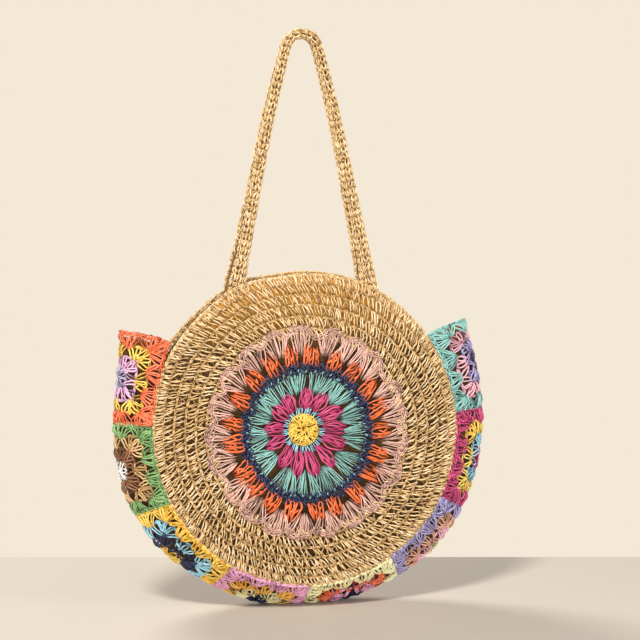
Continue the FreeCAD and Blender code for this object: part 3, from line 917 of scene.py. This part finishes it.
def make_medallion():
    """The seven rounds of the medallion, from its centre outward."""
    centre = []
    for centre_round in CENTRE_ROUNDS:
        centre += crochet_round(**centre_round)
    medallion_piece("centre", centre, "yellow", radius=0.78)

    base, axis = ring_of(PETALS, BLUE_RADIUS, BETWEEN_PETALS)
    tips, feet = shells(base, axis, **BLUE_SHELL)
    medallion_piece("blue", [hairpins(tips, feet, **BLUE_STITCH)], "light_blue", radius=0.58)

    base, axis = ring_of(PETALS, PETAL_RADIUS, PETAL_PHASE)
    feet, tips = clusters(base, axis, PETAL_STRANDS, **PETAL_CLUSTER)
    bulge = np.tile(np.linspace(-1, 1, PETAL_STRANDS) * PETAL_BULGE, PETALS)
    petals = [strands(feet, tips, bulge, **PETAL_STRAND)]
    petals.append(wraps(tips[1::2], feet[1::2], **PETAL_WRAP))
    medallion_piece("petal", petals, "magenta", radius=0.88)

    tips, feet = fans(PETALS, BETWEEN_PETALS, **TEAL_FAN)
    teal = [hairpins(tips, feet, **TEAL_STITCH)]
    wrap_top, wrap_foot = [tips[::2] * share for share in TEAL_WRAP_SPAN]
    teal.append(wraps(wrap_top, wrap_foot, **TEAL_WRAP))
    medallion_piece("teal", teal, "teal", radius=0.64, brightness=0.85)

    navy = []
    for navy_round in NAVY_ROUNDS:
        navy += crochet_round(**navy_round, **NAVY_STITCH)
    medallion_piece("navy", navy, "navy", radius=0.86)

    base, axis = ring_of(CLUSTERS, ORANGE_RADIUS, CLUSTER_PHASE)
    hooks, ends = clusters(base, axis, ORANGE_STITCHES, **ORANGE_CLUSTER)
    orange = [hairpins(hooks, ends, **ORANGE_STITCH)]
    orange.append(wraps(hooks, ends, **ORANGE_WRAP))
    orange.append(wraps(hooks[::2], ends[::2], **ORANGE_CROSS))
    medallion_piece("orange", orange, "orange", radius=0.95, brightness=0.9)

    tips, feet = fans(CLUSTERS, BETWEEN_CLUSTERS, **PINK_FAN)
    pink = [hairpins(tips, feet, **PINK_STITCH)]
    for reach, lift in PINK_CHAINS:
        pink.append(chain(tips * reach, lift=lift, **PINK_CHAIN))
    medallion_piece("pink", pink, "dusty_pink", radius=0.66, brightness=0.9)


# Gusset of granny squares

SQUARE_ROUNDS = 4
LEAST_INNER = 2.5
# Stitches in a cluster and the share of its room that it fills
BORDER_CLUSTER = (5, 0.95)
INNER_CLUSTER = (3, 0.8)
CLUSTER_INSET = 2.0
CLUSTER_SINK = 3.5
GRANNY_SHELL = {"base_half": 2.0, "shoulder": 0.86, "skew": 0.8}
GRANNY_STITCH = {"gap": 3.3, "flare": 0.5, "belly": 0.1, "hump": 2.4, "loose": 0.8, "vary": 0.3}
GRANNY_WRAP = {"width": 1.6, "start": 0.5, "stop": 0.75, "hump": 0.8, "lift": 1.9}
GRANNY_LOOSE = 0.45
ROUND_CHAIN = {"width": 0.9, "lift": -1.0}
ROUND_CHAIN_INSET = 1.0
SEAM_CHAIN = {"links": 15, "width": 1.2, "lift": 0.8}
SEAM_INSET = 1.2


def turned(points, quarter):
    angle = quarter * math.pi / 2
    turn = np.array([[math.cos(angle), -math.sin(angle)], [math.sin(angle), math.cos(angle)]])
    return points @ turn.T


def granny_chain(reach, links, width, lift):
    """Chain of loops along the outer edge of one round of a granny square."""
    edge_x = np.linspace(-reach, reach, links, endpoint=False)
    edge = np.stack([edge_x, np.full(links, reach)], axis=-1)
    line = np.concatenate([turned(edge, quarter) for quarter in (0, -1, -2, -3)])
    return chain(line, width, lift=lift, loose=GRANNY_LOOSE)


def granny_round(number, inner, outer, stitches, spread):
    """Round of a granny square: as many clusters of stitches a side as its number."""
    spot = np.arange(number)
    base_x = np.zeros(1)
    if number > 1:
        base_x = (inner - CLUSTER_INSET) * (2 * spot / (number - 1) - 1)
    top_x = outer * ((2 * spot + 1) / number - 1)
    base = np.stack([base_x, np.full(number, inner - CLUSTER_SINK)], axis=-1)
    top = np.stack([top_x, np.full(number, outer)], axis=-1)
    height = np.linalg.norm(top - base, axis=-1).mean()
    half_width = outer / number * spread
    groups = [granny_chain(outer - ROUND_CHAIN_INSET, 4 * number + 1, **ROUND_CHAIN)]
    for quarter in range(4):
        tips, feet = shells(turned(base, quarter), turned(unit(top - base), quarter), half_width, height,
                            stitches, **GRANNY_SHELL)
        groups.append(hairpins(tips, feet, **GRANNY_STITCH))
        groups.append(wraps(tips[1::2], feet[1::2], **GRANNY_WRAP))
    return groups


def make_gusset():
    """Granny squares from the left end to the right, each worked from its border in to its centre."""
    width = HALF_SQUARE / SQUARE_ROUNDS
    for number, yarns in enumerate(SQUARE_YARNS):
        middle = np.array([(number + 0.5) * SQUARE, 0.0, 0.0])
        for ring, slot in enumerate(yarns, start=1):
            growth = SQUARE_ROUNDS + 1 - ring
            border = ring == 1
            cluster = BORDER_CLUSTER if border else INNER_CLUSTER
            inner = max(LEAST_INNER, (growth - 1) * width)
            groups = granny_round(growth, inner, growth * width, *cluster)
            if border:
                groups.append(granny_chain(HALF_SQUARE - SEAM_INSET, **SEAM_CHAIN))
            groups = [group + middle for group in groups]
            node = f"square_{number + 1}_round_{ring}"
            piece = crocheted(f"{node}_stitches", groups, GUSSET_CHART, slot, [node], YARN_RADIUS,
                              depth_shade_share=SQUARE_DEPTH_SHADE_SHARE, brightness=SQUARE_BRIGHTNESS[number])
            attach(piece, "bag")


# Handles

STRAP_ROWS = 4
STRAP_PITCH = 7.2
STRAP_SLANT = 0.6
STRAP_END = 1.0
STRAP_STITCH = {"gap": 2.6, "flare": 0.8, "belly": 0.0, "hump": 0.6, "lift": -0.9, "loose": 0.5}
STRAP_CHAIN = {"width": 1.7, "hump": 1.6, "lift": -0.2, "closed": False, "loose": 0.6}
CORE_STRANDS = 4
CORE_POINTS = 160
CORE_LIFT = -2.8
CORE_WAVE = 9
CORE_PHASE = 5


def strap_core():
    """Long strands inside the rolled strap, behind its stitches."""
    along = np.linspace(STRAP_END, HANDLE_LENGTH - STRAP_END, CORE_POINTS)
    rows = (np.arange(CORE_STRANDS) + 0.5) / CORE_STRANDS - 0.5
    across = STRAP_WIDTH * rows[:, None] + np.sin(along[None] / CORE_WAVE + CORE_PHASE * rows[:, None])
    level = np.full(across.shape, CORE_LIFT)
    return np.stack([across, np.broadcast_to(along, across.shape), level], axis=-1)


def make_handle(side):
    """A strap of rows of stitches that run along it, from the left foot to the right one."""
    name = f"{SIDE_NAMES[side]}_handle"
    count = int(HANDLE_LENGTH / STRAP_PITCH)
    along = np.linspace(0, HANDLE_LENGTH, count)
    row_width = STRAP_WIDTH / STRAP_ROWS
    groups = []
    for row in range(STRAP_ROWS):
        start = row * row_width - STRAP_WIDTH / 2
        shift = rng.uniform(0, STRAP_PITCH)
        base = np.stack([np.full(count, start), along + shift], axis=-1)
        top = base + np.array([row_width, STRAP_SLANT * STRAP_PITCH])
        groups.append(hairpins(top, base, **STRAP_STITCH))
        groups.append(chain(top, **STRAP_CHAIN))
    for group in groups:
        group[..., 1] = np.clip(group[..., 1], STRAP_END, HANDLE_LENGTH - STRAP_END)
    nodes = [name, f"{name}_foot_left", f"{name}_foot_right"]
    piece = crocheted(f"{name}_strap", groups, HANDLE_CHARTS[side], "straw", nodes, STRAP_YARN_RADIUS,
                      [strap_core()], brightness=STRAP_BRIGHTNESS)
    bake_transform(piece)


# Lining

LINING_LIFT = -4.4
LINING_SLACK = 2.0
LINING_HOLLOW = 6.0
LINING_MARGIN = 3.0
LINING_MIDDLE = 1.0
LINING_RINGS = 40
LINING_SPOKES = 97
LINING_RIPPLE = 0.6
RIPPLE_FOLDS = 3
RIPPLE_TWIST = 9
RIPPLE_LENGTH = 14
GUSSET_LINING_LIFT = -6.5
GUSSET_LINING_END = 5.0
GUSSET_LINING_GRID = (161, 31)
RIDGE_LINING_RISE = 5.6
RIDGE_REACH = 9.0


def grid_faces(rows, columns):
    index = np.arange(rows * columns).reshape(rows, columns)
    corners = [index[:-1, :-1], index[:-1, 1:], index[1:, 1:], index[1:, :-1]]
    return np.stack(corners, axis=-1).reshape(-1, 4)


def cloth(name, points, chart, node):
    """A sheet of lining over a grid of points on a chart, and its area in square metres."""
    rows, columns = points.shape[:2]
    places = chart(points)[0]
    mesh = make_mesh(name, places.reshape(-1, 3), grid_faces(rows, columns))
    piece = add_object(name, mesh, "lining", [node])
    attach(piece, "bag")
    area = sum(polygon.area for polygon in mesh.polygons)
    return piece, area


def make_lining():
    """Two rounds of cloth behind the panels and a strip inside the gusset."""
    angle = np.linspace(0, FULL_TURN, LINING_SPOKES)[None, :]
    radius = np.linspace(LINING_MIDDLE, PANEL_RADIUS - LINING_MARGIN, LINING_RINGS)[:, None]
    ripple = LINING_RIPPLE * np.sin(RIPPLE_FOLDS * angle + radius / RIPPLE_TWIST)
    ripple = ripple * np.sin(radius / RIPPLE_LENGTH)
    share = radius / PANEL_RADIUS
    slack = LINING_SLACK * share * np.sin(angle) - LINING_HOLLOW * (1 - share ** 2)
    flat = np.concatenate([polar(angle, radius), (LINING_LIFT + slack + ripple)[..., None]], axis=-1)
    for side, name in SIDE_NAMES.items():
        piece, area = cloth(f"{name}_lining_cloth", flat, PANEL_CHARTS[side], f"{name}_lining")
    columns, rows = GUSSET_LINING_GRID
    run = np.linspace(GUSSET_LINING_END, SQUARE * SQUARE_COUNT - GUSSET_LINING_END, columns)
    x, y = np.meshgrid(run, np.linspace(-HALF_SQUARE, HALF_SQUARE, rows))
    level = GUSSET_LINING_LIFT + RIDGE_LINING_RISE * np.exp(-(y / RIDGE_REACH) ** 2)
    strip = np.stack([x, y, level], axis=-1)
    piece, area = cloth("gusset_lining_cloth", strip, GUSSET_CHART, "gusset_lining")


# Stage, light and camera, in metres and watts

FLOOR_WIDTH = 2.6
FLOOR_DEPTH = 1.6
FLOOR_BACK = 0.26
FLOOR_CELLS = (24, 12)
FLOOR_COLOUR = "#CDC5BA"
FLOOR_TONES = (0.98, 1.02)
FLOOR_GRAIN = 3.0
FLOOR_ROUGHNESS = 0.85
AMBIENT_COLOUR = "#F4ECE0"
AMBIENT_STRENGTH = 0.1
WALL_COLOUR = "#F4E8D6"
LIGHT_TARGET = (0, 0, 0.25)
# Lights by name: place, width of the disk, power and colour
LIGHTS = {
    "key": ((-1.12, -1.89, 2.6), 0.63, 88.0, (1.0, 0.96, 0.9)),
    "fill": ((1.7, -1.4, 0.9), 0.8, 15.0, (1.0, 0.98, 0.95)),
    "low": ((-0.6, -3.0, 0.3), 0.9, 34.0, (1.0, 0.98, 0.95)),
    "back": ((-0.6, 1.8, 1.75), 1.2, 44.0, (1.0, 0.97, 0.92)),
}
# Camera: scale at the bag in millimetres for each pixel, and the pixel where the frame's origin shows
CAMERA_AZIMUTH = math.radians(-14)
CAMERA_ELEVATION = math.radians(4)
CAMERA_DISTANCE = 2.2
FRAME_PIXELS = 640
PIXEL_MM = 1.066
ORIGIN_PIXEL = (301.5, 602.0)
SENSOR_MM = 36.0


def add_floor():
    """A pale table top that ends behind the bag, square to the camera."""
    bpy.ops.mesh.primitive_grid_add(x_subdivisions=FLOOR_CELLS[0], y_subdivisions=FLOOR_CELLS[1], size=1)
    floor = bpy.context.object
    floor.name = "floor"
    floor.scale = (FLOOR_WIDTH, FLOOR_DEPTH, 1)
    floor.rotation_euler = (0, 0, CAMERA_AZIMUTH)
    middle = FLOOR_BACK - FLOOR_DEPTH / 2
    floor.location = (-middle * math.sin(CAMERA_AZIMUTH), middle * math.cos(CAMERA_AZIMUTH), 0)
    material, nodes, links, shader = new_material("floor_surface")
    grain = nodes.new("ShaderNodeTexNoise")
    set_inputs(grain, {"Scale": FLOOR_GRAIN})
    tones = [shade(linear(FLOOR_COLOUR), tone) for tone in FLOOR_TONES]
    colour = add_ramp(nodes, links, grain.outputs["Fac"], [(0.0, tones[0]), (1.0, tones[1])])
    links.new(colour, shader.inputs["Base Color"])
    set_inputs(shader, {"Roughness": FLOOR_ROUGHNESS})
    floor.data.materials.append(material)


def add_light(name, place, size, power, colour):
    data = bpy.data.lights.new(name, "AREA")
    data.shape = "DISK"
    data.size = size
    data.energy = power
    data.color = colour
    light = bpy.data.objects.new(name, data)
    light.location = place
    light.rotation_euler = (Vector(LIGHT_TARGET) - Vector(place)).to_track_quat("-Z", "Y").to_euler()
    bpy.context.scene.collection.objects.link(light)


def add_world():
    """A dim, even surround that shows as a pale wall to the camera and in reflections."""
    world = bpy.data.worlds.new("studio")
    bpy.context.scene.world = world
    world.use_nodes = True
    nodes, links = world.node_tree.nodes, world.node_tree.links
    ambient = nodes["Background"]
    set_inputs(ambient, {"Color": shade(linear(AMBIENT_COLOUR), 1.0), "Strength": AMBIENT_STRENGTH})
    wall = nodes.new("ShaderNodeBackground")
    set_inputs(wall, {"Color": shade(linear(WALL_COLOUR), 1.0)})
    rays = nodes.new("ShaderNodeLightPath").outputs
    shown = add_math(nodes, links, "MAXIMUM", rays["Is Camera Ray"], rays["Is Glossy Ray"])
    shown = add_math(nodes, links, "MAXIMUM", shown, rays["Is Transmission Ray"])
    mix = nodes.new("ShaderNodeMixShader")
    for socket, source in zip(mix.inputs, (shown, ambient.outputs[0], wall.outputs[0])):
        links.new(source, socket)
    links.new(mix.outputs[0], nodes["World Output"].inputs["Surface"])


def add_camera():
    """A camera that puts the origin of the frame at its pixel."""
    sine, cosine = math.sin(CAMERA_AZIMUTH), math.cos(CAMERA_AZIMUTH)
    level = math.cos(CAMERA_ELEVATION)
    back = Vector((sine * level, -cosine * level, math.sin(CAMERA_ELEVATION)))
    right = Vector((cosine, sine, 0.0))
    up = back.cross(right)
    half = FRAME_PIXELS / 2
    target = right * (half - ORIGIN_PIXEL[0]) + up * (ORIGIN_PIXEL[1] - half)
    data = bpy.data.cameras.new("camera")
    data.sensor_width = SENSOR_MM
    data.lens = SENSOR_MM * CAMERA_DISTANCE / (FRAME_PIXELS * PIXEL_MM * MM)
    camera = bpy.data.objects.new("camera", data)
    camera.location = target * PIXEL_MM * MM + back * CAMERA_DISTANCE
    camera.rotation_euler = (-back).to_track_quat("-Z", "Y").to_euler()
    bpy.context.scene.collection.objects.link(camera)
    bpy.context.scene.camera = camera


add_camera()
add_floor()
add_world()
for light_name, light_values in LIGHTS.items():
    add_light(light_name, *light_values)
bpy.context.scene.view_settings.view_transform = "Standard"

make_lining()
make_panel(FRONT, FRONT_START)
make_panel(BACK, BACK_START)
for panel_side in SIDE_NAMES:
    make_edging(panel_side)
    make_handle(panel_side)
make_medallion()
make_gusset()
